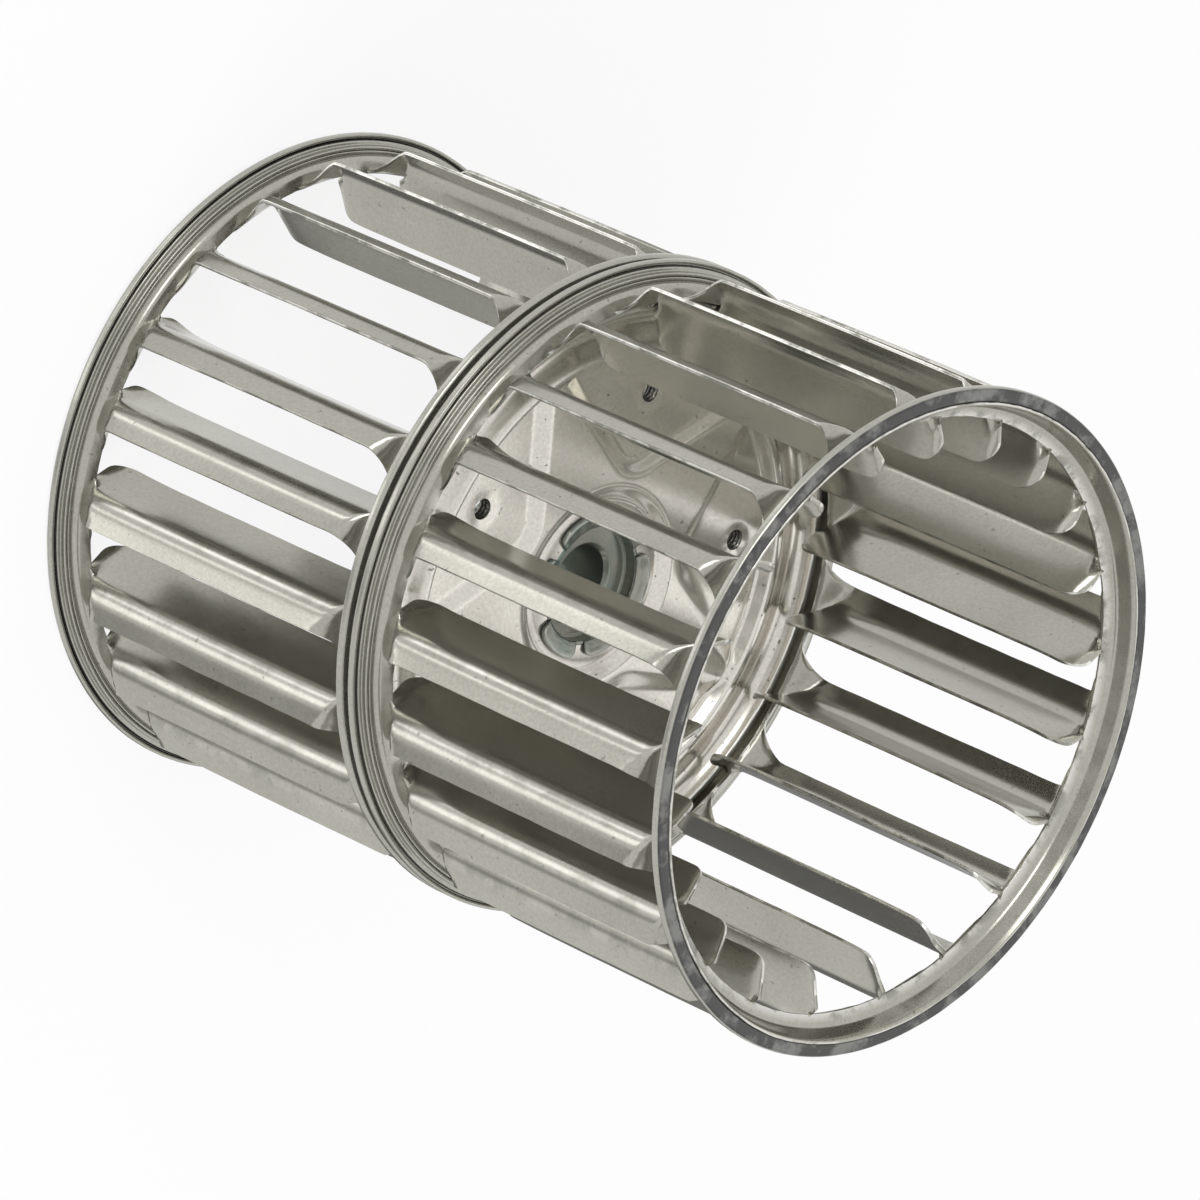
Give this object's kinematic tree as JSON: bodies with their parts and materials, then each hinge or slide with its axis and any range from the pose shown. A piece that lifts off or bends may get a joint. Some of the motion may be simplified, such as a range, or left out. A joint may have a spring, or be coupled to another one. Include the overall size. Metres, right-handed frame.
{
  "type": "blower wheel",
  "caption": "Double-width centrifugal blower wheel with forward-curved blades twisted out of two rolled strips, a pressed centre plate and a staked hub.",
  "frame": {"origin": "on the wheel axis, halfway between the two end faces", "axes": "+Z along the wheel axis towards the near drum's end, +X towards the side that faces the camera in the picture"},
  "size_m": [0.127, 0.127, 0.1618],
  "materials": {
    "plate_steel": "pressed bright zinc-coated sheet, warm light grey, lightly scuffed",
    "zinc_plated_hub": "turned and zinc plated, with a green tint",
    "screw_steel": "dark oiled steel",
    "strip_steel": "zinc-coated sheet with a fine rolling grain and bright cut edges",
    "ring_steel": "rolled zinc-coated strip, smudged grey on its outer face"
  },
  "bodies": {
    "root": {"centre_plate": "plate_steel", "hub": "zinc_plated_hub", "set_screw": "screw_steel", "blade_strip_near": "strip_steel", "blade_strip_far": "strip_steel", "end_ring_near": "ring_steel", "end_ring_far": "ring_steel", "mid_ring_near": "ring_steel", "mid_ring_far": "ring_steel"}
  },
  "joints": []
}
